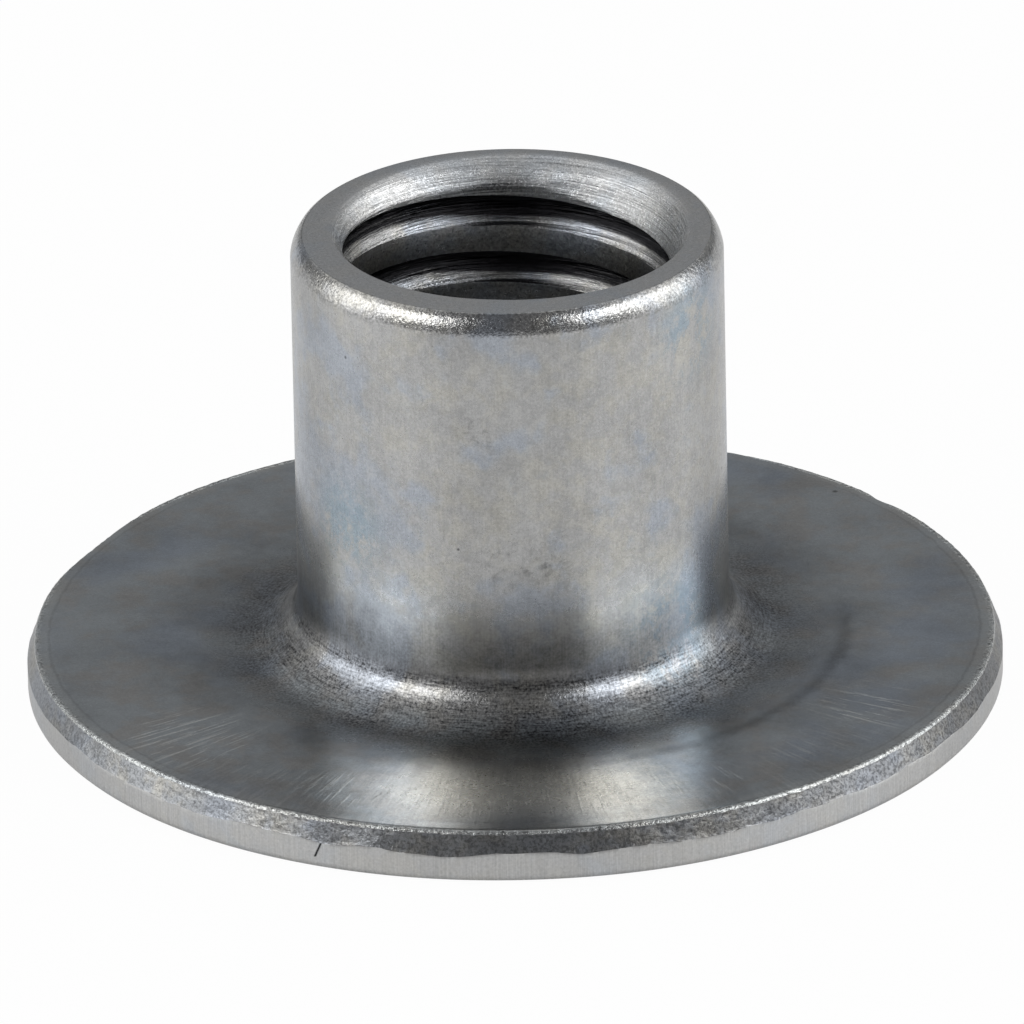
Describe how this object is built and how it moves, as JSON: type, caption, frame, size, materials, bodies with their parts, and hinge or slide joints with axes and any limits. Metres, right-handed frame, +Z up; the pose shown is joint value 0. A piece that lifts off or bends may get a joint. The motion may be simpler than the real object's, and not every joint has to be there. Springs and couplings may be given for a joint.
{
  "type": "weld nut",
  "caption": "Round-base weld nut: a flat round flange with a threaded barrel drawn up from it, welded to sheet or tube to give a screw a strong thread.",
  "frame": {"origin": "centre of the flange's underside, on the axis of the barrel", "axes": "+Z up the barrel's axis, away from the flange; +X and +Y across the flange"},
  "size_m": [0.0254, 0.0254, 0.0126],
  "materials": {
    "zinc": "satin"
  },
  "bodies": {
    "root": {"weld_nut": "zinc"}
  },
  "joints": []
}
